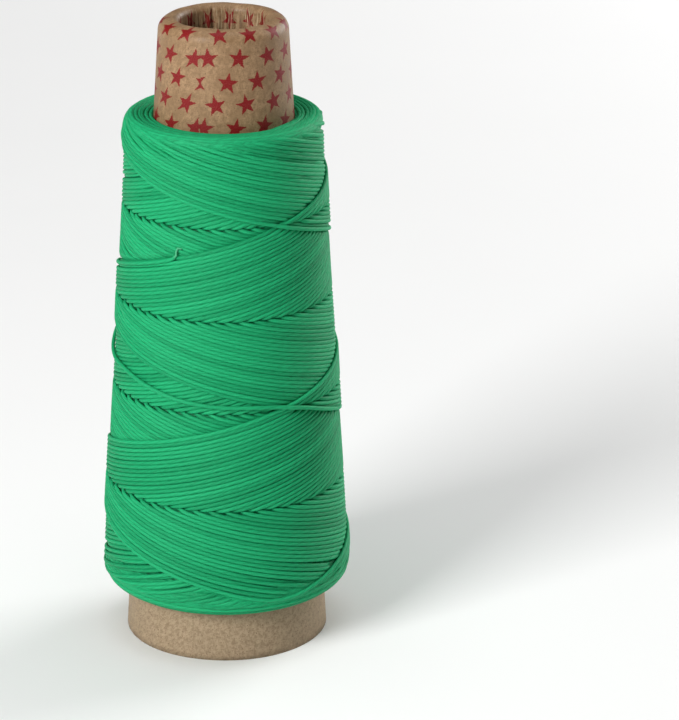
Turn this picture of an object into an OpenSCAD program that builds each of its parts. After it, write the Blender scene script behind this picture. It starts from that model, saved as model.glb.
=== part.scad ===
// Waxed thread spool: a rolled paper cone with a cross-wound package of thread.
// Millimetres. The axis is Z, the wide end of the cone stands on z = 0 and the
// rolled nose points up.

/* [Paper cone] */
// Length of the cone along its axis
cone_len = 170; // [150:1:180]
// Outer diameter of the wide end
base_od = 54.4; // [52:0.2:60]
// Slope of the wall, measured from the axis, in degrees
half_angle = 3.5; // [3:0.25:4.25]
// Thickness of one ply of paper
ply_t = 0.5; // [0.4:0.02:0.56]
// Radius of the rolled nose on its outer side
lip_outer_r = 3.5; // [2.8:0.1:4]
// Radius of the rolled nose where it turns down into the hole
lip_inner_r = 1.9; // [1.75:0.05:2.4]
// Length of the straight collar that the roll leaves inside the hole
collar_len = 6; // [3:0.5:10]

/* [Winding] */
// Distance from the wide end to the package, along the wall
pkg_start = 14.4; // [12:0.2:20]
// Length of the package along the wall
pkg_len = 130; // [120:1:134]
// Thickness of the whole package
pkg_t = 7.4; // [6:0.2:10]
// Thickness of the outermost crossing layers
lay_t = 2; // [1.5:0.1:2.5]
// Radius of the package's edge towards the nose
nose_edge_r = 2.4; // [1.5:0.1:4]
// Radius of the package's edge towards the wide end
base_edge_r = 4.6; // [3:0.1:5]

/* [Thread] */
// Diameter of the waxed thread
thread_d = 1; // [0.6:0.1:1.2]
// Number of starting turns under the package
start_turns = 5; // [3:1:8]

/* [Hidden] */

round_fn = 128;
arc_steps = 12;
tube_sides = 8;
kraft = "#B08A66";
kraft_inner = "#9C7A5A";
green = "#27AE70";
dark_green = "#1C8F59";

base_r = base_od / 2;
wall_slope = tan(half_angle);

// Height and radius of the line where the wall runs into the rolled nose
roll_z = cone_len - lip_outer_r + lip_outer_r * sin(half_angle);
roll_r = base_r - roll_z * wall_slope;
// Radius of the circle along the top of the rolled nose
crown_r = roll_r - lip_outer_r * cos(half_angle);
collar_top_z = cone_len - lip_inner_r;

// The starting turns lie side by side in a relief under the package
thread_gap = 0.02;
start_pitch = thread_d * 0.98;
start_s = pkg_start + 2.5;
relief_len = start_turns * start_pitch + 0.2;
relief_t = thread_d + 2 * thread_gap;

// Routes of the two visible thread ends over the package, as
// [angle round the axis, height, lift off the package]
loose_route = [
    [60, 104.4, 0], [80, 101, 0], [100, 97.4, 0], [120, 93.4, 0], [138, 89.6, 0],
    [154, 86, 0], [168, 82.8, 0.1], [181, 80.4, 0.1], [194, 79.1, 0.1], [210, 78.4, 0],
    [228, 76.6, 0], [248, 74.6, 0], [270, 73.4, 0], [292, 72.9, 0], [312, 71, 0],
    [330, 67.8, 0], [346, 64.8, 0]
];
end_route = [
    [172, 102.3, 0], [190, 104.6, 0], [208, 107.1, 0], [222, 109, 0], [234, 110.7, 0],
    [241, 111.8, 0], [244.2, 112.7, 0.2], [244.9, 113.7, 0.5], [245.2, 114.6, 0.7],
    [246.2, 115.4, 0.6], [247.8, 115.1, 0.4]
];
loose_substeps = 4;
end_substeps = 2;

// Offset of a point d inside the cone's outer surface, from base to collar
function arc(cx, cz, r, from, to) =
    [for (i = [0:arc_steps]) let (a = from + (to - from) * i / arc_steps)
        [cx + r * cos(a), cz + r * sin(a)]];
function ply_line(d) = concat(
    [[base_r - d / cos(half_angle), 0]],
    arc(crown_r, cone_len - lip_outer_r, lip_outer_r - d, half_angle, 90),
    arc(crown_r, collar_top_z, lip_inner_r - d, 90, 180),
    [[crown_r - lip_inner_r + d, collar_top_z - collar_len]]);
function reversed(list) = [for (i = [len(list) - 1:-1:0]) list[i]];

// Outer radius of the package at height z, clear of its rounded edges
function package_r(z) = base_r + pkg_t / cos(half_angle) - z * wall_slope;

// Smooth curve through a list of points
function spline(a, b, c, d, t) =
    0.5 * (2 * b + (c - a) * t + (2 * a - 5 * b + 4 * c - d) * t * t
        + (3 * b - a - 3 * c + d) * t * t * t);
function smooth(route, steps) = concat(
    [for (i = [0:len(route) - 2]) for (k = [0:steps - 1])
        spline(route[max(i - 1, 0)], route[i], route[i + 1],
               route[min(i + 2, len(route) - 1)], k / steps)],
    [route[len(route) - 1]]);
function on_package(p) =
    let (r = package_r(p.y) + thread_d / 2 + 2 * thread_gap + p.z)
    [r * cos(p.x), r * sin(p.x), p.y];
function unit(v) = v / norm(v);
function tangent(path, i) =
    unit(path[min(i + 1, len(path) - 1)] - path[max(i - 1, 0)]);

// Round tube of the thread's diameter along a path round the axis
module thread_tube(path) {
    points = [for (i = [0:len(path) - 1])
        let (t = tangent(path, i),
             side = unit(cross(t, [path[i].x, path[i].y, 0])),
             out = cross(side, t))
        for (k = [0:tube_sides - 1])
            let (a = 360 * (k + 0.5) / tube_sides)
            path[i] + thread_d / 2 * (cos(a) * out + sin(a) * side)];
    last = (len(path) - 1) * tube_sides;
    walls = [for (i = [0:len(path) - 2]) for (k = [0:tube_sides - 1])
        let (a = i * tube_sides + k, b = i * tube_sides + (k + 1) % tube_sides)
        [a, b, b + tube_sides, a + tube_sides]];
    start_cap = [[for (k = [tube_sides - 1:-1:0]) k]];
    end_cap = [[for (k = [0:tube_sides - 1]) last + k]];
    polyhedron(points, concat(start_cap, walls, end_cap), convexity = 6);
}

// One ply between two depths below the cone's outer surface
module ply(outer_d, inner_d) {
    rotate_extrude($fn = round_fn)
        polygon(concat(ply_line(outer_d), reversed(ply_line(inner_d))));
}

// Turns a profile drawn on the wall about the axis: x is out of the wall and
// y is along it, from the wide end
module turned_on_wall() {
    rotate_extrude($fn = round_fn)
        translate([base_r, 0]) rotate(half_angle) children();
}

// Section of the whole package with its two rounded edges
module package_section() {
    top = pkg_start + pkg_len;
    polygon(concat(
        [[0, pkg_start]],
        arc(pkg_t - base_edge_r, pkg_start + base_edge_r, base_edge_r, -90, 0),
        arc(pkg_t - nose_edge_r, top - nose_edge_r, nose_edge_r, 0, 90),
        [[0, top]]));
}

// Slab of the section between two depths above the wall
module depth_slab(low, high) {
    translate([low, pkg_start - 1]) square([high - low, pkg_len + 2]);
}

module cone_inner_ply() {
    color(kraft_inner) ply(2 * ply_t, 3 * ply_t);
}

module cone_middle_ply() {
    color(kraft_inner) ply(ply_t, 2 * ply_t);
}

module cone_outer_ply() {
    color(kraft) ply(0, ply_t);
}

module thread_start_turns() {
    color(dark_green) turned_on_wall()
        for (i = [0:start_turns - 1])
            translate([thread_d / 2 + thread_gap,
                       start_s + 0.1 + (i + 0.5) * start_pitch])
                circle(d = thread_d, $fn = 48);
}

module thread_package() {
    color(dark_green) turned_on_wall()
        difference() {
            intersection() {
                package_section();
                depth_slab(0, pkg_t - lay_t);
            }
            translate([-1, start_s]) square([1 + relief_t, relief_len]);
        }
}

module thread_top_lay() {
    color(green) turned_on_wall()
        intersection() {
            package_section();
            depth_slab(pkg_t - lay_t, pkg_t + 1);
        }
}

module thread_loose_turn() {
    color(green) thread_tube([for (p = smooth(loose_route, loose_substeps)) on_package(p)]);
}

module thread_free_end() {
    color(green) thread_tube([for (p = smooth(end_route, end_substeps)) on_package(p)]);
}

cone_inner_ply();
cone_middle_ply();
cone_outer_ply();
thread_start_turns();
thread_package();
thread_top_lay();
thread_loose_turn();
thread_free_end();
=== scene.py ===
"""Waxed thread spool: the looks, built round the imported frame.

Shapes are worked out in millimetres and degrees and turned into metres when a
mesh is made. The spool stands on z = 0 with its axis on Z and its nose up.
"""
import math

import bpy
import numpy as np
from mathutils import Matrix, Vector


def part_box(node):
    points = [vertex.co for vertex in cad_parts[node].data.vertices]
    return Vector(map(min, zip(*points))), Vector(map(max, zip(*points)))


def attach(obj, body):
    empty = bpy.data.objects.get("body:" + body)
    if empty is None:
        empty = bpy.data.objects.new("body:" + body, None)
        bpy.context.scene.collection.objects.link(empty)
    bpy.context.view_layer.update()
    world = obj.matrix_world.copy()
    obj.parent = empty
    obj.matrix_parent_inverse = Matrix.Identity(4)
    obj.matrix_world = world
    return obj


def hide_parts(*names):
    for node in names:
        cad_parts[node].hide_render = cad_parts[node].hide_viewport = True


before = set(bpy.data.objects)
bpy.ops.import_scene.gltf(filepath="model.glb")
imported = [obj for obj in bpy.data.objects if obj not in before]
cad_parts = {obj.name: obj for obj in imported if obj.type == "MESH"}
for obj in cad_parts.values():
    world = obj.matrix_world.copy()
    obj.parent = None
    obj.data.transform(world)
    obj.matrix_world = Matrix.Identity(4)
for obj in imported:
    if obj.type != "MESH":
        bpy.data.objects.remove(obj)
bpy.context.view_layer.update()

MM = 0.001
BODY = "root"
rng = np.random.default_rng(7)


# ---------------------------------------------------------------- dimensions

cone_low, cone_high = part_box("cone_outer_ply")
BASE_R = cone_high[0] / MM
CONE_LEN = cone_high[2] / MM
HALF_ANGLE = math.radians(3.5)
COS, SIN, TAN = math.cos(HALF_ANGLE), math.sin(HALF_ANGLE), math.tan(HALF_ANGLE)
PLY_T = 0.5
LIP_OUTER_R = 3.5
LIP_INNER_R = 1.9
COLLAR_LEN = 6.0

PKG_START = 14.4
PKG_END = 144.4
PKG_T = 7.4
NOSE_EDGE_R = 2.4
BASE_EDGE_R = 4.6
NOSE_ARC = PKG_END - NOSE_EDGE_R
BASE_ARC = PKG_START + BASE_EDGE_R
THREAD_D = 1.0
RHO = THREAD_D / 2


# -------------------------------------------------------------------- camera

CAMERA_AIM = (30.4, 0.0, 75.7)
CAMERA_DISTANCE = 936.6
CAMERA_ELEVATION = 20.43
CAMERA_ROLL = 0.36
CAMERA_LENS = 175.6


def make_camera():
    up = math.radians(CAMERA_ELEVATION)
    camera = bpy.data.objects.new("camera", bpy.data.cameras.new("camera"))
    place = [
        CAMERA_AIM[0],
        CAMERA_AIM[1] - CAMERA_DISTANCE * math.cos(up),
        CAMERA_AIM[2] + CAMERA_DISTANCE * math.sin(up),
    ]
    turn = Matrix.Rotation(math.pi / 2 - up, 4, "X") @ Matrix.Rotation(math.radians(CAMERA_ROLL), 4, "Z")
    camera.matrix_world = Matrix.Translation([c * MM for c in place]) @ turn
    camera.data.lens = CAMERA_LENS
    camera.data.clip_start = 0.01
    camera.data.clip_end = 20
    bpy.context.collection.objects.link(camera)
    bpy.context.scene.camera = camera


make_camera()


# ------------------------------------------------------------- small helpers

def smoothstep(x):
    x = np.clip(x, 0, 1)
    return x * x * (3 - 2 * x)


def blur(values, width):
    """Gaussian blur along an open line, with width in samples."""
    reach = int(3 * width) + 1
    kernel = np.exp(-0.5 * (np.arange(-reach, reach + 1) / width) ** 2)
    padded = np.pad(values, reach, mode="edge")
    return np.convolve(padded, kernel / kernel.sum(), mode="valid")


def lowest_near(values, reach):
    """Lowest value within reach samples on either side."""
    padded = np.pad(values, reach, mode="edge")
    windows = np.lib.stride_tricks.sliding_window_view(padded, 2 * reach + 1)
    return windows.min(axis=1)


def mesh_object(name, points, quads, fans=()):
    """Smooth mesh from points in mm, an array of quads and lists of cap corners."""
    loops = np.concatenate([quads.ravel()] + [np.asarray(f) for f in fans]).astype(np.int32)
    sizes = np.concatenate([np.full(len(quads), 4), [len(f) for f in fans]]).astype(np.int32)
    mesh = bpy.data.meshes.new(name)
    mesh.vertices.add(len(points))
    mesh.vertices.foreach_set("co", (points * MM).astype(np.float32).ravel())
    mesh.loops.add(len(loops))
    mesh.loops.foreach_set("vertex_index", loops)
    mesh.polygons.add(len(sizes))
    mesh.polygons.foreach_set("loop_start", np.concatenate([[0], np.cumsum(sizes)[:-1]]).astype(np.int32))
    mesh.polygons.foreach_set("use_smooth", np.ones(len(sizes), bool))
    mesh.update(calc_edges=True)
    mesh.validate()
    piece = bpy.data.objects.new(name, mesh)
    bpy.context.collection.objects.link(piece)
    return piece


def point_attribute(piece, name, kind, values):
    field = "vector" if kind == "FLOAT_VECTOR" else "value"
    made = piece.data.attributes.new(name, kind, "POINT")
    made.data.foreach_set(field, np.asarray(values, np.float32).ravel())


# ---------------------------------------------------------- the package's form

def wall_point(s, t):
    """Radius and height of the point s along the cone's wall and t out of it."""
    return BASE_R - s * SIN + t * COS, s * COS + t * SIN


def outline(sigma):
    """The package's outline at the distance sigma along it: t, s and the outward normal.

    sigma equals s on the side and runs on over both rounded edges and down the ends.
    """
    quarter = math.pi / 2
    nose = np.clip((sigma - NOSE_ARC) / NOSE_EDGE_R, 0, quarter)
    base = np.clip((BASE_ARC - sigma) / BASE_EDGE_R, 0, quarter)
    past_nose = np.clip(sigma - NOSE_ARC - NOSE_EDGE_R * quarter, 0, None)
    past_base = np.clip(BASE_ARC - sigma - BASE_EDGE_R * quarter, 0, None)
    t = PKG_T - NOSE_EDGE_R * (1 - np.cos(nose)) - BASE_EDGE_R * (1 - np.cos(base))
    t = t - past_nose - past_base
    s = np.clip(sigma, BASE_ARC, NOSE_ARC) + NOSE_EDGE_R * np.sin(nose) - BASE_EDGE_R * np.sin(base)
    return t, s, np.cos(nose) * np.cos(base), np.sin(nose) - np.sin(base)


def on_package(theta, sigma, height):
    """Points and outward normals at an angle in degrees, a place sigma and a height above the outline."""
    t, s, out_t, out_s = outline(sigma)
    r, z = wall_point(s + out_s * height, t + out_t * height)
    a = np.radians(theta)
    out_r, out_z = out_t * COS - out_s * SIN, out_t * SIN + out_s * COS
    points = np.stack([r * np.cos(a), r * np.sin(a), z], axis=-1)
    normals = np.stack([out_r * np.cos(a), out_r * np.sin(a), out_z], axis=-1)
    return points, normals


# ------------------------------------------------------------ how it is wound

BANDS = 46
LAPS = 5.0
TURNS = LAPS - 1 / BANDS
HALF_PITCH = 24.4
NOSE_MEET = 144.7
PITCH_GROWTH = 0.72
GROWTH_FROM = 3.0
GROWTH_SPAN = 1.6
START_ANGLE = 300.1
NOSE_ROUNDING = 0.045
BASE_ROUNDING = 0.06

steps = np.linspace(-0.6, 5.6, 1241)
grown = np.clip(GROWTH_FROM - steps, 0, GROWTH_SPAN)
step_sigma = NOSE_MEET - HALF_PITCH * (LAPS - steps) - PITCH_GROWTH * grown**2
step_sigma -= 2 * PITCH_GROWTH * GROWTH_SPAN * np.clip(GROWTH_FROM - GROWTH_SPAN - steps, 0, None)


def sigma_of(u):
    return np.interp(u, steps, step_sigma)


def u_of(sigma):
    return np.interp(sigma, step_sigma, steps)


def traverse(turns):
    """Place of the thread guide, 0 at the base and LAPS at the nose, after so many turns."""
    half = np.abs((turns / (TURNS / 2)) % 2 - 1)
    u = LAPS * (1 - half)
    u = LAPS - np.sqrt((LAPS - u) ** 2 + NOSE_ROUNDING**2)
    return np.sqrt(np.clip(u, 0, None) ** 2 + BASE_ROUNDING**2)


LOOSE_ROUTE = [
    (60, 104.4, 0), (80, 101, 0), (100, 97.4, 0), (120, 93.4, 0), (138, 89.6, 0),
    (154, 86, 0), (168, 82.8, 0.1), (181, 80.4, 0.1), (194, 79.1, 0.1), (210, 78.4, 0),
    (228, 76.6, 0), (248, 74.6, 0), (270, 73.4, 0), (292, 72.9, 0), (312, 71, 0),
    (330, 67.8, 0), (346, 64.8, 0),
]
END_ROUTE = [
    (172, 102.3, 0), (190, 104.6, 0), (208, 107.1, 0), (222, 109, 0), (234, 110.7, 0),
    (241, 111.8, 0), (244.2, 112.7, 0.2), (244.9, 113.7, 0.5), (245.2, 114.6, 0.7),
    (246.2, 115.4, 0.6), (247.8, 115.1, 0.4),
]

# Turns, counted back from the last base turn, that the loose turn takes out of the lay
LOOSE_TURNS = (
    (LOOSE_ROUTE[0][0] - START_ANGLE) / 360 - 1,
    (LOOSE_ROUTE[-1][0] - START_ANGLE) / 360 - 1,
)
END_TURNS = (END_ROUTE[0][0] - START_ANGLE) / 360 + 2

STEP_HEIGHT = 0.62
CREST_HEIGHT = 0.3
CREST_WIDTH = 5.0


def relief(theta, sigma):
    """Height of the wound surface above the outline: it steps down past the newest threads."""
    u = u_of(sigma)
    turn = (theta - START_ANGLE) / 360
    tail = np.where(u < traverse(np.array(END_TURNS)), 1.0, 0.0)
    up_age = ((turn - u * TURNS / (2 * LAPS)) * BANDS - 0.5 + tail) % BANDS / BANDS
    down_age = ((turn + u * TURNS / (2 * LAPS)) * BANDS + 0.5) % BANDS / BANDS
    inside = smoothstep((NOSE_ARC + 1 - sigma) / 5) * smoothstep((sigma - BASE_ARC + 1) / 6)
    a = np.radians(theta)
    lumps = 0.10 * np.sin(2 * a + sigma / 21) + 0.07 * np.sin(3 * a - sigma / 13 + 2)
    lumps = lumps + 0.05 * np.sin(a + sigma / 6)
    crest = CREST_HEIGHT * np.exp(-(((sigma - NOSE_ARC + 1) / CREST_WIDTH) ** 2))
    return STEP_HEIGHT * (1 - up_age - down_age) * inside + lumps * inside + crest


CELL = 0.13
AROUND = 1440
SIGMA_LOW = BASE_ARC - BASE_EDGE_R * math.pi / 2 - (PKG_T - BASE_EDGE_R)
SIGMA_HIGH = NOSE_ARC + NOSE_EDGE_R * math.pi / 2 + (PKG_T - NOSE_EDGE_R)
ROWS = int((SIGMA_HIGH - SIGMA_LOW) / CELL) + 1
LAY_STEP = 0.15
FOOTPRINT = np.linspace(-0.41, 0.41, 7) * THREAD_D
DEEPEST = 2.2
DEEPEST_AT_NOSE = 0.6
DEEPEST_AT_BASE = 0.9


def deepest(sigma):
    """How far under the surface a thread may run: less where the turns crowd at the two ends."""
    nose = np.exp(-(((sigma - NOSE_MEET) / 5) ** 2))
    base = np.exp(-(((sigma - sigma_of(0)) / 5) ** 2))
    return DEEPEST - (DEEPEST - DEEPEST_AT_NOSE) * nose - (DEEPEST - DEEPEST_AT_BASE) * base


class Lay:
    """The threads laid so far, newest first, as the underside that older ones pass below."""

    def __init__(self):
        theta, sigma = np.meshgrid(np.arange(AROUND) * 360 / AROUND, SIGMA_LOW + np.arange(ROWS) * CELL)
        self.surface = relief(theta, sigma)
        self.under = self.surface.copy()

    def cells(self, theta, sigma, offsets):
        """Grid cells under a thread, at offsets to either side of its centre line."""
        t, s, _, _ = outline(sigma)
        r, _ = wall_point(s, t)
        along_theta = np.gradient(np.radians(theta)) * r
        along_sigma = np.gradient(sigma)
        length = np.hypot(along_theta, along_sigma) + 1e-9
        side_theta = np.degrees(-along_sigma / length / r)[:, None] * offsets
        side_sigma = (along_theta / length)[:, None] * offsets
        column = np.round((theta[:, None] + side_theta) * AROUND / 360).astype(int) % AROUND
        row = np.round((sigma[:, None] + side_sigma - SIGMA_LOW) / CELL).astype(int)
        return np.clip(row, 0, ROWS - 1), column

    def add(self, theta, sigma, height=None, joint=None):
        """Lays an older thread under the rest, and says how high it runs and where it shows.

        joint is the height at its end, where it runs on into the thread laid just before.
        """
        row, column = self.cells(theta, sigma, FOOTPRINT)
        rise = np.sqrt(RHO**2 - FOOTPRINT**2)
        own = self.surface[row, column].mean(axis=1)
        if height is None:
            height = (self.under[row, column] - rise).min(axis=1)
            height = blur(lowest_near(height, 4), 6)
            height = np.maximum(height, own - deepest(sigma))
            if joint is not None:
                back = (len(height) - 1 - np.arange(len(height))) * LAY_STEP
                height = joint + (height - joint) * smoothstep((back - 0.8) / 5)
        shows = (self.under[row, column] > self.surface[row, column] - 0.2).any(axis=1)
        np.minimum.at(self.under, (row, column), height[:, None] - rise)
        return height, shows


lay = Lay()


# ------------------------------------------------------------- thread as tubes

SIDES = 10
FLATTENED = 1.12
RING_GAP = 1.1
HIDDEN_RING_GAP = 2.6


def ring_picks(points, shows):
    """Which samples get a ring: close together where the thread shows."""
    length = np.concatenate([[0], np.cumsum(np.linalg.norm(np.diff(points, axis=0), axis=1))])
    near = blur(shows.astype(float), 8) > 0.02
    pace = np.where(near, 1 / RING_GAP, 1 / HIDDEN_RING_GAP)
    count = np.concatenate([[0], np.cumsum(0.5 * (pace[1:] + pace[:-1]) * np.diff(length))])
    picks = np.searchsorted(count, np.arange(0, count[-1], 1.0))
    return np.unique(np.append(picks, len(points) - 1)), length


def tube(points, normals, length, radius, start):
    """Rings, quads, caps and the thread's own coordinates for one stretch of thread."""
    along = np.gradient(points, axis=0)
    along /= np.linalg.norm(along, axis=1)[:, None]
    side = np.cross(along, normals)
    side /= np.linalg.norm(side, axis=1)[:, None]
    out = np.cross(side, along)
    a = np.arange(SIDES) * 2 * math.pi / SIDES
    ring = out[:, None] * np.cos(a)[:, None] + FLATTENED * side[:, None] * np.sin(a)[:, None]
    rings = points[:, None] + ring * np.broadcast_to(radius, len(points))[:, None, None]
    n = len(points)
    i, k = np.meshgrid(np.arange(n - 1), np.arange(SIDES), indexing="ij")
    here, beside = i * SIDES + k, i * SIDES + (k + 1) % SIDES
    quads = np.stack([here, beside, beside + SIDES, here + SIDES], axis=-1).reshape(-1, 4)
    first = list(range(SIDES))[::-1]
    last = [(n - 1) * SIDES + k for k in range(SIDES)]
    own = np.stack(
        [np.repeat(length, SIDES), np.tile(np.cos(a), n), np.tile(np.sin(a), n)], axis=-1
    )
    return rings.reshape(-1, 3), quads + start, [[c + start for c in cap] for cap in (first, last)], own


class Strands:
    """Collects stretches of thread into one mesh."""

    def __init__(self):
        self.points, self.quads, self.caps, self.own, self.tone = [], [], [], [], []
        self.count = 0
        self.length = 0.0

    def add(self, points, normals, shows, radius=RHO, tone=0.5):
        picks, length = ring_picks(points, shows)
        radius = np.broadcast_to(radius, len(points))[picks]
        made = tube(points[picks], normals[picks], self.length + length[picks], radius, self.count)
        self.points.append(made[0])
        self.quads.append(made[1])
        self.caps += made[2]
        self.own.append(made[3])
        tone = np.broadcast_to(tone, len(points))[picks]
        self.tone.append(np.repeat(tone, SIDES))
        self.count += len(made[0])
        self.length += length[-1]

    def build(self, name, material, *nodes):
        piece = mesh_object(name, np.concatenate(self.points), np.concatenate(self.quads), self.caps)
        point_attribute(piece, "thread", "FLOAT_VECTOR", np.concatenate(self.own))
        point_attribute(piece, "tone", "FLOAT", np.concatenate(self.tone))
        piece.data.materials.append(material)
        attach(piece, BODY)
        if nodes:
            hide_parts(*nodes)
        return piece


# ------------------------------------------------------------------ materials

class Nodes:
    """Short way to write a node tree."""

    def __init__(self, name):
        self.material = bpy.data.materials.new(name)
        self.material.use_nodes = True
        self.tree = self.material.node_tree
        self.shader = self.tree.nodes["Principled BSDF"]

    def new(self, kind, **settings):
        node = self.tree.nodes.new(kind)
        for key, value in settings.items():
            setattr(node, key, value)
        return node

    def put(self, socket, value):
        if isinstance(value, bpy.types.NodeSocket):
            self.tree.links.new(value, socket)
        elif value is not None:
            socket.default_value = value

    def math(self, operation, a, b=None, c=None, clamp=False):
        node = self.new("ShaderNodeMath", operation=operation, use_clamp=clamp)
        for socket, value in zip(node.inputs, (a, b, c)):
            self.put(socket, value)
        return node.outputs[0]

    def combine(self, x=0.0, y=0.0, z=0.0):
        node = self.new("ShaderNodeCombineXYZ")
        for socket, value in zip(node.inputs, (x, y, z)):
            self.put(socket, value)
        return node.outputs[0]

    def split(self, vector):
        node = self.new("ShaderNodeSeparateXYZ")
        self.put(node.inputs[0], vector)
        return node.outputs

    def attribute(self, name):
        return self.new("ShaderNodeAttribute", attribute_name=name).outputs

    def place(self, scale):
        """Object coordinates, in mm times scale."""
        node = self.new("ShaderNodeVectorMath", operation="SCALE")
        self.put(node.inputs[0], self.new("ShaderNodeTexCoord").outputs["Object"])
        node.inputs["Scale"].default_value = scale / MM
        return node.outputs[0]

    def stretch(self, vector, x, y, z):
        node = self.new("ShaderNodeVectorMath", operation="MULTIPLY")
        self.put(node.inputs[0], vector)
        node.inputs[1].default_value = (x, y, z)
        return node.outputs[0]

    def noise(self, vector, scale=1.0, detail=2.0, roughness=0.5):
        node = self.new("ShaderNodeTexNoise")
        self.put(node.inputs["Vector"], vector)
        node.inputs["Scale"].default_value = scale
        node.inputs["Detail"].default_value = detail
        node.inputs["Roughness"].default_value = roughness
        return node.outputs[0]

    def white(self, vector):
        node = self.new("ShaderNodeTexWhiteNoise", noise_dimensions="3D")
        self.put(node.inputs["Vector"], vector)
        return node.outputs

    def ramp(self, value, low, high, to_low=0.0, to_high=1.0):
        node = self.new("ShaderNodeMapRange", interpolation_type="SMOOTHSTEP")
        for socket, item in zip(node.inputs, (value, low, high, to_low, to_high)):
            self.put(socket, item)
        return node.outputs[0]

    def mix(self, factor, a, b):
        node = self.new("ShaderNodeMix", data_type="RGBA")
        self.put(node.inputs["Factor"], factor)
        self.put(node.inputs["A"], a)
        self.put(node.inputs["B"], b)
        return node.outputs["Result"]

    def bump(self, height, strength, distance):
        node = self.new("ShaderNodeBump")
        node.inputs["Strength"].default_value = strength
        node.inputs["Distance"].default_value = distance * MM
        self.put(node.inputs["Height"], height)
        return node.outputs[0]


THREAD_LIGHT = (0.012, 0.36, 0.142, 1)
THREAD_MID = (0.005, 0.25, 0.094, 1)
# the thread green as it looks in shadow, used as painted shade in the grooves between plies and in the gaps
# between wound turns
THREAD_GAP_SHADE = (0.002, 0.12, 0.040, 1)
THREAD_FRAYED = (0.07, 0.40, 0.20, 1)
PLY_TURN = 3.4


def thread_material():
    n = Nodes("waxed_thread")
    along, side_x, side_y = n.split(n.attribute("thread")["Vector"])
    tone = n.attribute("tone")["Fac"]
    around = n.math("ARCTAN2", side_y, side_x)
    twist = n.math("MULTIPLY_ADD", along, 2 * math.pi / PLY_TURN, n.math("MULTIPLY", around, 3.0))
    plies = n.math("ABSOLUTE", n.math("SINE", n.math("MULTIPLY", twist, 0.5)))
    round_plies = n.math("POWER", plies, 0.6)
    streaked = n.combine(n.math("MULTIPLY", along, 0.9), n.math("MULTIPLY", twist, 1.1), tone)
    streak = n.noise(streaked, 1.0, 3.0, 0.6)
    slow = n.noise(n.combine(n.math("MULTIPLY", along, 0.035), tone, 0.0), 1.0, 2.0, 0.5)
    shade = n.math("MULTIPLY_ADD", slow, 0.5, n.math("MULTIPLY", tone, 0.5))
    groove_shade_mask = n.ramp(round_plies, 0.25, 0.75)
    base = n.mix(n.ramp(shade, 0.30, 0.70), THREAD_MID, THREAD_LIGHT)
    worn = n.mix(n.ramp(streak, 0.40, 0.62, 0.0, 0.55), base, THREAD_LIGHT)
    # painted shade: the grooves between the plies are darkened up to a quarter of the way towards the
    # shadowed thread green
    colour = n.mix(n.math("MULTIPLY_ADD", groove_shade_mask, -0.25, 0.25), worn, THREAD_GAP_SHADE)
    colour = n.mix(n.ramp(tone, 1.0, 1.9), colour, THREAD_FRAYED)
    n.put(n.shader.inputs["Base Color"], colour)
    n.put(n.shader.inputs["Roughness"], n.ramp(streak, 0.3, 0.7, 0.50, 0.68))
    n.shader.inputs["Specular IOR Level"].default_value = 0.15
    fibrous = n.combine(n.math("MULTIPLY", along, 1.2), n.math("MULTIPLY", twist, 4.0), tone)
    fibre = n.noise(fibrous, 1.0, 3.0, 0.7)
    height = n.math("ADD", round_plies, n.math("MULTIPLY_ADD", streak, 0.3, n.math("MULTIPLY", fibre, 0.45)))
    n.put(n.shader.inputs["Normal"], n.bump(height, 0.6, 0.10))
    return n.material


def core_material():
    """Deeper layers of thread, seen only through gaps in the lay."""
    n = Nodes("deep_thread")
    place = n.place(1.0)
    x, y, z = n.split(place)
    around = n.math("MULTIPLY", n.math("ARCTAN2", y, x), 7.8)
    lines = n.math("SINE", n.math("MULTIPLY", n.math("ADD", z, around), 2 * math.pi / 1.05))
    fibre = n.noise(n.stretch(place, 1.5, 1.5, 6.0), 1.0, 3.0, 0.6)
    # partly real fibre variation, partly painted shade: the colour darkens towards the shadowed thread green
    # in the gaps between the wound lines
    colour = n.mix(n.ramp(n.math("MULTIPLY_ADD", fibre, 1.2, lines), -0.6, 1.6), THREAD_GAP_SHADE, THREAD_MID)
    n.put(n.shader.inputs["Base Color"], colour)
    n.put(n.shader.inputs["Roughness"], n.ramp(fibre, 0.3, 0.7, 0.5, 0.7))
    n.put(n.shader.inputs["Normal"], n.bump(lines, 0.6, 0.3))
    return n.material


KRAFT_LIGHT = (0.35, 0.222, 0.120, 1)
KRAFT_MID = (0.200, 0.118, 0.058, 1)
KRAFT_PALE = (0.42, 0.33, 0.22, 1)
KRAFT_GREY = (0.250, 0.185, 0.115, 1)
KRAFT_DARK = (0.11, 0.060, 0.033, 1)
# a pale kraft painted on the crests of the pleats inside the hole as a highlight
KRAFT_PLEAT_HIGHLIGHT = (0.55, 0.44, 0.28, 1)
INK_RED = (0.168, 0.003, 0.003, 1)
INK_THIN = (0.215, 0.014, 0.016, 1)

STAR_PITCH = 8.05
STAR_ROW = 6.05
ROW_SHIFT = 0.373
STAR_R = 2.9
STAR_WAIST = 0.40
FIRST_ROW = 163.4
FIRST_STAR = 4.5
STARS_FROM = 139.0


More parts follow.
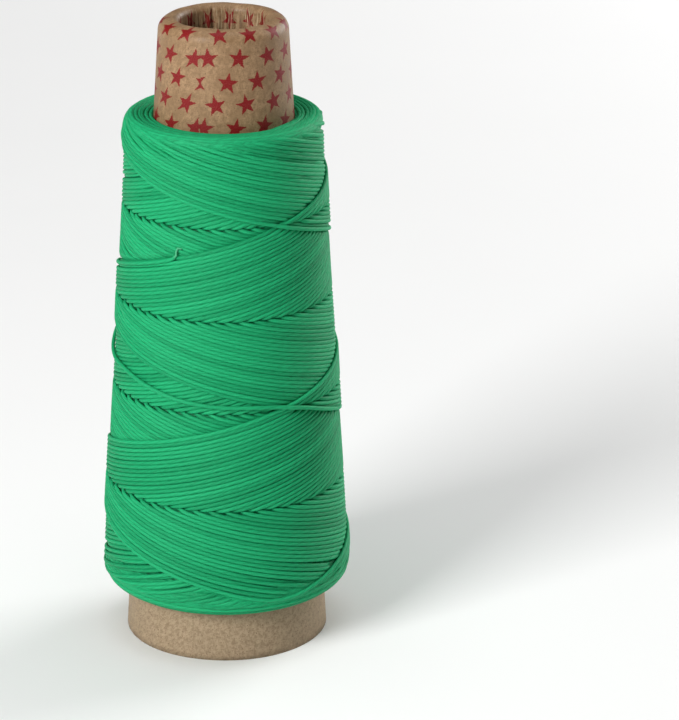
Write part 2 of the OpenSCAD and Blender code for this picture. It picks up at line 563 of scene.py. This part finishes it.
def kraft(n, u, v):
    """Colour, roughness and bump height of kraft paper, from mm along and up the sheet."""
    flat = n.combine(u, v, 0.0)
    cloud = n.noise(n.stretch(flat, 0.16, 0.11, 1.0), 1.0, 3.0, 0.6)
    mottle = n.noise(n.stretch(flat, 0.9, 0.7, 1.0), 1.0, 4.0, 0.65)
    fibre = n.noise(n.stretch(flat, 1.0, 4.6, 1.0), 1.0, 3.0, 0.6)
    fibre_up = n.noise(n.stretch(flat, 5.2, 1.1, 1.0), 1.0, 3.0, 0.6)
    speck = n.noise(n.stretch(flat, 2.3, 2.0, 1.0), 1.0, 1.0, 0.4)
    grain = n.math("MULTIPLY_ADD", n.math("ADD", fibre, fibre_up), 0.5, n.math("MULTIPLY", mottle, 0.9))
    colour = n.mix(n.ramp(grain, 0.72, 1.18), KRAFT_MID, KRAFT_LIGHT)
    colour = n.mix(n.ramp(cloud, 0.40, 0.62, 0.0, 0.55), colour, KRAFT_MID)
    # the wide end is paler and greyer than the nose
    faded = n.mix(n.ramp(grain, 0.74, 1.16), KRAFT_GREY, KRAFT_PALE)
    colour = n.mix(n.ramp(v, 60.0, 12.0, 0.0, 0.7), colour, faded)
    colour = n.mix(n.ramp(speck, 0.66, 0.76, 0.0, 0.8), colour, KRAFT_DARK)
    colour = n.mix(n.ramp(speck, 0.30, 0.22, 0.0, 0.35), colour, KRAFT_LIGHT)
    rough = n.ramp(mottle, 0.3, 0.7, 0.46, 0.66)
    return colour, rough, grain


def star_mask(n, u, v):
    """1 inside the printed stars: slanted columns, each star a little off and turned."""
    gathered = n.ramp(v, 171.0, 176.5, 0.0, 1.7)
    up = n.math("DIVIDE", n.math("SUBTRACT", n.math("SUBTRACT", v, gathered), FIRST_ROW), STAR_ROW)
    row = n.math("ROUND", up)
    along = n.math("DIVIDE", n.math("SUBTRACT", u, FIRST_STAR), STAR_PITCH)
    shifted = n.math("MULTIPLY_ADD", row, -ROW_SHIFT, along)
    column = n.math("ROUND", shifted)
    drawn = n.white(n.combine(row, column, 3.7))
    off_x, off_y, turned = n.split(drawn["Color"])
    x = n.math("MULTIPLY", n.math("SUBTRACT", shifted, column), STAR_PITCH)
    y = n.math("MULTIPLY", n.math("SUBTRACT", up, row), STAR_ROW)
    x = n.math("ADD", x, n.math("MULTIPLY_ADD", off_x, 0.5, -0.25))
    y = n.math("ADD", y, n.math("MULTIPLY_ADD", off_y, 0.5, -0.25))
    ragged = n.noise(n.stretch(n.combine(u, v, 0.0), 1.7, 1.7, 1.0), 1.0, 3.0, 0.65)
    angle = n.math("ADD", n.math("ARCTAN2", x, y), n.math("MULTIPLY_ADD", turned, 0.5, -0.25))
    fold = n.math("PINGPONG", angle, math.pi / 5)
    radius = n.math("SQRT", n.math("ADD", n.math("MULTIPLY", x, x), n.math("MULTIPLY", y, y)))
    px = n.math("MULTIPLY", radius, n.math("COSINE", fold))
    py = n.math("MULTIPLY", radius, n.math("SINE", fold))
    waist_x = STAR_R * STAR_WAIST * math.cos(math.pi / 5)
    waist_y = STAR_R * STAR_WAIST * math.sin(math.pi / 5)
    edge_x, edge_y = waist_x - STAR_R, waist_y
    norm = math.hypot(edge_x, edge_y)
    inside = n.math(
        "SUBTRACT",
        n.math("MULTIPLY", py, -edge_x / norm),
        n.math("MULTIPLY", n.math("SUBTRACT", STAR_R, px), edge_y / norm),
    )
    edge = n.math("MULTIPLY_ADD", ragged, 0.7, n.math("ADD", inside, -0.35))
    ink = n.ramp(edge, 0.07, -0.07)
    return n.math("MULTIPLY", ink, n.ramp(v, STARS_FROM - 0.1, STARS_FROM + 0.1)), ragged


def sheet_coordinates(n):
    u, v, _ = n.split(n.new("ShaderNodeUVMap", uv_map="sheet").outputs[0])
    return n.math("MULTIPLY", u, 1 / MM), n.math("MULTIPLY", v, 1 / MM)


def printed_paper_material():
    n = Nodes("printed_kraft")
    u, v = sheet_coordinates(n)
    colour, rough, grain = kraft(n, u, v)
    mask, ragged = star_mask(n, u, v)
    wear = n.noise(n.stretch(n.combine(u, v, 0.0), 3.4, 3.4, 1.0), 1.0, 3.0, 0.7)
    ink = n.mix(n.ramp(wear, 0.40, 0.66), INK_RED, INK_THIN)
    kept = n.math("MULTIPLY", mask, n.ramp(wear, 0.72, 0.58, 0.6, 1.0))
    colour = n.mix(kept, colour, ink)
    inside = n.ramp(v, 173.0, 176.0)
    crumple = n.noise(n.stretch(n.combine(u, v, 0.0), 1.7, 0.16, 1.0), 1.0, 3.0, 0.6)
    # painted highlight and painted shade of the pleats inside the hole: pale strokes on the crumple's crests,
    # dark strokes in its hollows
    colour = n.mix(n.math("MULTIPLY", inside, n.ramp(crumple, 0.53, 0.66, 0.0, 0.75)), colour, KRAFT_PLEAT_HIGHLIGHT)
    colour = n.mix(n.math("MULTIPLY", inside, n.ramp(crumple, 0.46, 0.36, 0.0, 0.7)), colour, KRAFT_DARK)
    n.put(n.shader.inputs["Base Color"], colour)
    n.put(n.shader.inputs["Roughness"], n.math("SUBTRACT", rough, n.ramp(v, 164.0, 169.0, 0.0, 0.12)))
    n.shader.inputs["Specular IOR Level"].default_value = 0.22
    n.put(n.shader.inputs["Normal"], n.bump(n.math("MULTIPLY_ADD", inside, crumple, grain), 0.35, 0.12))
    return n.material


def plain_paper_material(name, scale=1.0):
    """Kraft of the inner plies, from the place round and up the cone."""
    n = Nodes(name)
    x, y, z = n.split(n.place(1.0))
    u = n.math("MULTIPLY", n.math("ARCTAN2", y, x), 22.0 * scale)
    colour, rough, grain = kraft(n, u, n.math("MULTIPLY", z, scale))
    n.put(n.shader.inputs["Base Color"], n.mix(0.25, colour, KRAFT_DARK))
    n.put(n.shader.inputs["Roughness"], rough)
    n.shader.inputs["Specular IOR Level"].default_value = 0.3
    n.put(n.shader.inputs["Normal"], n.bump(grain, 0.35, 0.12))
    return n.material


thread_look = thread_material()


# ------------------------------------------------------------ the wound thread

PIECES = 6
NOSE_WANDER = 0.3
BASE_WANDER = 0.9
BASE_REACH = 1.2
LAST_PRESS = 0.12
wander = rng.uniform(-1, 1, (2, BANDS + 4))
drift_turns = np.arange(-BANDS * TURNS - 10, 4, 0.02)
drift_values = blur(rng.normal(0, 0.16, len(drift_turns)), 7)


def strand_path(first_turn, last_turn):
    """Angle and place of the thread between two counts of turns."""
    count = int((last_turn - first_turn) * 2 * math.pi * 29 / LAY_STEP)
    turns = np.linspace(first_turn, last_turn, count)
    theta = START_ANGLE + 360 * turns
    u = traverse(turns)
    nose = wander[0, np.floor(turns / TURNS).astype(int)]
    base = wander[1, np.round(turns / TURNS).astype(int)]
    sigma = sigma_of(u) + np.interp(turns, drift_turns, drift_values)
    sigma = sigma + nose * NOSE_WANDER * np.exp(-(((LAPS - u) / 0.25) ** 2))
    sigma = sigma - (BASE_REACH + base * BASE_WANDER) * np.exp(-((u / 0.25) ** 2))
    # the last, unfinished traverse presses against the one before it
    sigma = sigma - LAST_PRESS * smoothstep(turns / 0.3)
    return theta, sigma


def route_path(route, steps_between):
    """Smooth path through a listed route: angle, place and lift."""
    knots = np.array(route, float)
    z = knots[:, 1]
    knots[:, 1] = (z - PKG_T * SIN) / COS
    ends = np.concatenate([knots[:1], knots, knots[-1:]])
    t = (np.arange((len(knots) - 1) * steps_between + 1) / steps_between)[:, None]
    i = np.minimum(t.astype(int), len(knots) - 2)[:, 0]
    f = t - i[:, None]
    a, b, c, d = ends[i], ends[i + 1], ends[i + 2], ends[i + 3]
    path = 0.5 * (2 * b + (c - a) * f + (2 * a - 5 * b + 4 * c - d) * f**2 + (3 * b - a - 3 * c + d) * f**3)
    return path[:, 0], path[:, 1], np.clip(path[:, 2], 0, None)


def surface_at(theta, sigma):
    row = np.clip(np.round((sigma - SIGMA_LOW) / CELL).astype(int), 0, ROWS - 1)
    column = np.round(theta * AROUND / 360).astype(int) % AROUND
    return lay.surface[row, column]


def make_route_piece(name, node, route, steps_between, seat_height, sink_end, fray):
    """A stretch of thread that lies on top of the lay, with its ends sunk into it."""
    theta, sigma, lift = route_path(route, steps_between)
    far = np.arange(len(theta)) / (len(theta) - 1)
    near_end = np.minimum(far, 1 - far) if sink_end else far
    seat = -RHO + (seat_height + RHO) * smoothstep(near_end / 0.10)
    height = blur(surface_at(theta, sigma) + seat, 8) + lift
    lay.add(theta, sigma, np.minimum(height, surface_at(theta, sigma) + RHO))
    points, normals = on_package(theta, sigma, height)
    frayed = fray * smoothstep((far - 0.52) / 0.12)
    strands = Strands()
    strands.add(points, normals, np.ones(len(points), bool), RHO * (1 - 0.5 * frayed), 0.55 + 1.4 * frayed)
    return strands.build(name, thread_look, node)


make_route_piece("loose_turn", "thread_loose_turn", LOOSE_ROUTE, 60, 0.38, True, 0)
make_route_piece("free_end", "thread_free_end", END_ROUTE, 40, -0.42, False, 1)


def halves():
    """Every half traverse, newest first, as its first and last count of turns."""
    yield 0.0, END_TURNS
    for back in range(BANDS + 1):
        top = -(back + 0.5) * TURNS
        if back == 0:
            yield LOOSE_TURNS[1], -back * TURNS
            yield top, LOOSE_TURNS[0]
        else:
            yield top, -back * TURNS
        yield -(back + 1) * TURNS, top


def make_lay():
    """The outermost crossing layers as one long thread, in a few pieces."""
    laid = []
    joint, joint_turn = None, None
    for number, (first, last) in enumerate(halves()):
        theta, sigma = strand_path(first, last)
        height, shows = lay.add(theta, sigma, joint=joint if last == joint_turn else None)
        joint, joint_turn = height[0], first
        tone = np.random.default_rng(50 + number).random()
        laid.append([first, theta, sigma, height, shows, np.full(len(theta), tone)])
    laid.sort(key=lambda part: part[0])
    share = len(laid) / PIECES
    groups = [laid[round(k * share):round((k + 1) * share)] for k in range(PIECES)]
    for k, group in enumerate(groups):
        strands = Strands()
        run = []
        for part, following in zip(group, group[1:] + [None]):
            run.append(part)
            gap = following is None or abs(following[1][0] - part[1][-1]) > 1
            if gap:
                theta, sigma, height, shows, tone = (np.concatenate([p[i] for p in run]) for i in range(1, 6))
                points, normals = on_package(theta, sigma, blur(height, 3))
                strands.add(points, normals, shows, RHO, blur(tone, 60))
                run = []
        strands.build(f"thread_lay_{k + 1}", thread_look, "thread_top_lay")


make_lay()


# ---------------------------------------------------------- ends of the package

END_PITCH = 0.98
END_LAYERS = 3
END_SWAY = 3.2
STEPS_A_TURN = 600


def make_end_turns(name, from_sigma, to_sigma, seed):
    """Older turns that show on one end of the package, side by side and wandering a little."""
    draws = np.random.default_rng(seed)
    strands = Strands()
    turns = abs(to_sigma - from_sigma) / END_PITCH
    far = np.arange(int(turns * STEPS_A_TURN)) / STEPS_A_TURN
    for layer in range(END_LAYERS):
        theta = draws.uniform(0, 360) + 360 * far * (1 if layer % 2 else -1)
        place = (far + 0.5 * layer) / turns
        sway = blur(blur(draws.normal(0, END_SWAY, len(far)), 45), 45)
        sigma = from_sigma + (to_sigma - from_sigma) * np.clip(place, 0, 1) + sway
        sigma = np.clip(sigma, SIGMA_LOW + 0.5, SIGMA_HIGH - 0.5)
        height, shows = lay.add(theta, sigma)
        points, normals = on_package(theta, sigma, blur(height, 12))
        tone = blur(np.repeat(draws.random(int(turns) + 1), STEPS_A_TURN)[:len(far)], 80)
        strands.add(points, normals, shows, RHO, tone)
    return strands.build(name, thread_look)


make_end_turns("nose_end_turns", NOSE_MEET - 2.2, SIGMA_HIGH - 0.5, 11)
make_end_turns("base_end_turns", BASE_ARC + 4.0, SIGMA_LOW + 0.5, 12)


def ring_of_profile(name, profile, columns=256):
    """Closed solid turned from a closed profile of (radius, height) points."""
    a = np.arange(columns) * 2 * math.pi / columns
    r, z = profile[:, 0], profile[:, 1]
    points = np.stack(
        [np.outer(r, np.cos(a)), np.outer(r, np.sin(a)), np.repeat(z[:, None], columns, axis=1)], axis=-1
    )
    i, k = np.meshgrid(np.arange(len(profile)), np.arange(columns), indexing="ij")
    j, l = (i + 1) % len(profile), (k + 1) % columns
    quads = np.stack([i * columns + k, i * columns + l, j * columns + l, j * columns + k], axis=-1)
    return mesh_object(name, points.reshape(-1, 3), quads.reshape(-1, 4))


def make_core():
    """The layers under the outermost ones, as one body that the lay rests on."""
    sigma = np.linspace(SIGMA_LOW + 0.6, SIGMA_HIGH - 0.6, 160)
    t, s, out_t, out_s = outline(sigma)
    depth = 0.95 + 1.0 * out_t**4
    t = np.maximum(t - depth * out_t, 0.06)
    s = s - depth * out_s
    r, z = wall_point(s, t)
    r_in, z_in = wall_point(s[::-1][::8], np.full(20, 0.03))
    profile = np.stack([np.concatenate([r, r_in]), np.concatenate([z, z_in])], axis=-1)
    piece = ring_of_profile("package_core", profile)
    piece.data.materials.append(core_material())
    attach(piece, BODY)
    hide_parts("thread_package")


make_core()


# ------------------------------------------------------------------- the paper

FRONT = 270
SEAM_ANGLE = 252.3
SEAM_STEP = 0.06
PLEATS = 34
PLEAT_DEPTH = 0.42
CREASE_ANGLE = 106
CREASE_WIDTH = 1.8
CREASE_DEPTH = 0.42
# Distances along the sheet, from the base, where the rolled nose and the collar begin
LIP_FROM = 166
COLLAR_FROM = 174.5


def ply_profile(depth, wall_points, arc_points):
    """Radius, height and distance along the sheet, from the base over the nose to the collar's end."""
    roll_z = CONE_LEN - LIP_OUTER_R + LIP_OUTER_R * SIN
    crown_r = BASE_R - roll_z * TAN - LIP_OUTER_R * COS
    outer = np.linspace(HALF_ANGLE, math.pi / 2, arc_points)
    inner = np.linspace(math.pi / 2, math.pi, arc_points)[1:]
    outer_r, inner_r = LIP_OUTER_R - depth, LIP_INNER_R - depth
    wall_z = np.linspace(0, CONE_LEN - LIP_OUTER_R + outer_r * SIN, wall_points)[:-1]
    wall_r = BASE_R - depth / COS - wall_z * TAN
    collar_z = CONE_LEN - LIP_INNER_R - np.linspace(0, COLLAR_LEN, 14)[1:]
    r = [wall_r, crown_r + outer_r * np.cos(outer), crown_r + inner_r * np.cos(inner),
         np.full(13, crown_r - inner_r)]
    z = [wall_z, CONE_LEN - LIP_OUTER_R + outer_r * np.sin(outer),
         CONE_LEN - LIP_INNER_R + inner_r * np.sin(inner), collar_z]
    r, z = np.concatenate(r), np.concatenate(z)
    v = np.concatenate([[0], np.cumsum(np.hypot(np.diff(r), np.diff(z)))])
    return r, z, v


def make_printed_ply():
    """The outer ply, with its lapped seam, its uneven rolled nose and the pleats in the hole."""
    r, z, v = ply_profile(0.0, 96, 14)
    under_r, under_z, _ = ply_profile(PLY_T, 96, 14)
    n_v = len(r)
    dr, dz = np.gradient(r), np.gradient(z)
    length = np.hypot(dr, dz)
    out_r, out_z = dz / length, -dr / length
    extra = np.array([0.02, 0.35, 0.7])
    angles = np.sort(np.concatenate([SEAM_ANGLE + np.arange(360), SEAM_ANGLE + 360 - extra]))
    columns = len(angles)
    turn = (angles - SEAM_ANGLE) / 360
    a = np.radians(angles)[None, :]
    level = v[:, None]
    lip = smoothstep((level - LIP_FROM) / 5)
    collar = smoothstep((level - COLLAR_FROM) / 6)
    # the sheet spirals in by one ply and ends on a lapped edge
    lap = smoothstep((turn - (1 - 0.75 / 360)) / (0.7 / 360))[None, :]
    wrap = -SEAM_STEP * (1 - turn[None, :] * 0.55 - 0.45 * smoothstep((turn[None, :] - 0.9) / 0.09))
    wrap = wrap * (1 - lap) + -SEAM_STEP * lap
    uneven = 0.05 * np.sin(2 * a + level / 30) + 0.035 * np.sin(5 * a + level / 17 + 1)
    rim = lip * (0.07 * np.sin(3 * a + 0.6) + 0.05 * np.sin(7 * a + 2) + 0.03 * np.sin(13 * a))
    rim = rim - 0.25 * lip * np.exp(-((np.degrees(a) - 360 - 150) / 24) ** 2)
    phase = PLEATS * a + 1.6 * np.sin(3 * a) + 1.1 * np.sin(8 * a + 1)
    pleat = PLEAT_DEPTH * collar * (0.5 + 0.5 * np.sin(phase)) ** 1.5
    crease = np.exp(-(((np.degrees(a) - 360 - CREASE_ANGLE) / CREASE_WIDTH) ** 2))
    pleat = pleat - CREASE_DEPTH * smoothstep((level - 171) / 3) * crease
    shift = np.minimum(wrap * (1 - 0.6 * lip) + uneven, 0.1) + pleat
    outer_r = r[:, None] + out_r[:, None] * shift
    outer_z = z[:, None] + out_z[:, None] * (shift * (1 - lip)) + rim
    inner_r = under_r[:, None] + 0 * a
    inner_z = under_z[:, None] + 0 * a
    outer_z[0], inner_z[0] = 0, 0
    ring_r = np.concatenate([outer_r, inner_r[::-1]])
    ring_z = np.concatenate([outer_z, inner_z[::-1]])
    points = np.stack([ring_r * np.cos(a), ring_r * np.sin(a), ring_z], axis=-1)
    rows = 2 * n_v
    i, k = np.meshgrid(np.arange(rows), np.arange(columns), indexing="ij")
    j, l = (i + 1) % rows, (k + 1) % columns
    quads = np.stack([i * columns + k, i * columns + l, j * columns + l, j * columns + k], axis=-1)
    piece = mesh_object("printed_cone", points.reshape(-1, 3), quads.reshape(-1, 4))
    # the sheet's own coordinates: mm round it, from the front, and mm up it
    sheet_v = np.concatenate([v, v[::-1]])
    wall_r = BASE_R - np.minimum(sheet_v, 172) * SIN
    turned = np.concatenate([angles, [SEAM_ANGLE + 360]]) - FRONT
    corner_u = wall_r[:, None] * np.radians(turned)[None, :]
    next_row = np.roll(np.arange(rows), -1)
    uv = np.empty((rows, columns, 4, 2))
    uv[..., 0, 0], uv[..., 1, 0] = corner_u[:, :-1], corner_u[:, 1:]
    uv[..., 2, 0], uv[..., 3, 0] = corner_u[next_row][:, 1:], corner_u[next_row][:, :-1]
    uv[..., 0, 1], uv[..., 1, 1] = sheet_v[:, None], sheet_v[:, None]
    uv[..., 2, 1], uv[..., 3, 1] = sheet_v[next_row][:, None], sheet_v[next_row][:, None]
    layer = piece.data.uv_layers.new(name="sheet")
    layer.data.foreach_set("uv", (uv * MM).astype(np.float32).ravel())
    piece.data.materials.append(printed_paper_material())
    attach(piece, BODY)
    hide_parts("cone_outer_ply")


make_printed_ply()


def dress_node(node, material):
    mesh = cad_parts[node].data
    mesh.materials.clear()
    mesh.materials.append(material)


dress_node("cone_inner_ply", plain_paper_material("inner_kraft"))
dress_node("cone_middle_ply", plain_paper_material("middle_kraft", 1.15))
dress_node("thread_start_turns", core_material())


# ---------------------------------------------------------- floor and lighting

FLOOR_SIZE = 12000
FLOOR_COLOUR = (0.86, 0.86, 0.855, 1)


def make_floor():
    half = FLOOR_SIZE / 2
    corners = np.array([(-half, -half, 0), (half, -half, 0), (half, half, 0), (-half, half, 0)], float)
    floor = mesh_object("floor", corners, np.array([[0, 1, 2, 3]]))
    n = Nodes("floor")
    faint = n.noise(n.place(0.01), 1.0, 2.0, 0.5)
    n.put(n.shader.inputs["Base Color"], n.mix(faint, FLOOR_COLOUR, (0.88, 0.88, 0.875, 1)))
    n.shader.inputs["Roughness"].default_value = 0.85
    # painted light: the floor glows more and more from 250 mm to 2600 mm away, so that it runs out white into
    # the bright background behind it
    x, y, _ = n.split(n.place(1.0))
    away = n.math("SQRT", n.math("ADD", n.math("MULTIPLY", x, x), n.math("MULTIPLY", y, y)))
    n.shader.inputs["Emission Color"].default_value = (1, 1, 1, 1)
    n.put(n.shader.inputs["Emission Strength"], n.ramp(away, 250.0, 2600.0, 0.0, 0.9))
    floor.data.materials.append(n.material)


def area_light(name, place, aim, size, power):
    light = bpy.data.lights.new(name, "AREA")
    light.shape = "SQUARE"
    light.size = size * MM
    light.energy = power
    lamp = bpy.data.objects.new(name, light)
    lamp.location = [c * MM for c in place]
    direction = np.array(aim, float) - np.array(place, float)
    yaw = math.atan2(direction[1], direction[0])
    pitch = math.atan2(direction[2], math.hypot(direction[0], direction[1]))
    lamp.rotation_euler = (math.pi / 2 + pitch, 0, yaw - math.pi / 2)
    bpy.context.collection.objects.link(lamp)


make_floor()
area_light("key_light", (-880, -1000, 780), (0, 0, 80), 600, 23.5)
area_light("side_light", (1150, 920, 650), (0, 0, 80), 900, 19)
area_light("top_light", (0, 0, 1600), (0, 0, 80), 1200, 9)

def make_world():
    """A faint even light, in front of a white background."""
    world = bpy.data.worlds.new("studio")
    world.use_nodes = True
    tree = world.node_tree
    glow = tree.nodes["Background"]
    glow.inputs["Strength"].default_value = 0.10
    glow.inputs["Color"].default_value = (1, 1, 1, 1)
    backdrop = tree.nodes.new("ShaderNodeBackground")
    backdrop.inputs["Color"].default_value = (1, 1, 1, 1)
    backdrop.inputs["Strength"].default_value = 1.0
    seen = tree.nodes.new("ShaderNodeMixShader")
    tree.links.new(tree.nodes.new("ShaderNodeLightPath").outputs["Is Camera Ray"], seen.inputs[0])
    tree.links.new(glow.outputs[0], seen.inputs[1])
    tree.links.new(backdrop.outputs[0], seen.inputs[2])
    tree.links.new(seen.outputs[0], tree.nodes["World Output"].inputs["Surface"])
    bpy.context.scene.world = world


make_world()
bpy.context.scene.view_settings.view_transform = "Standard"
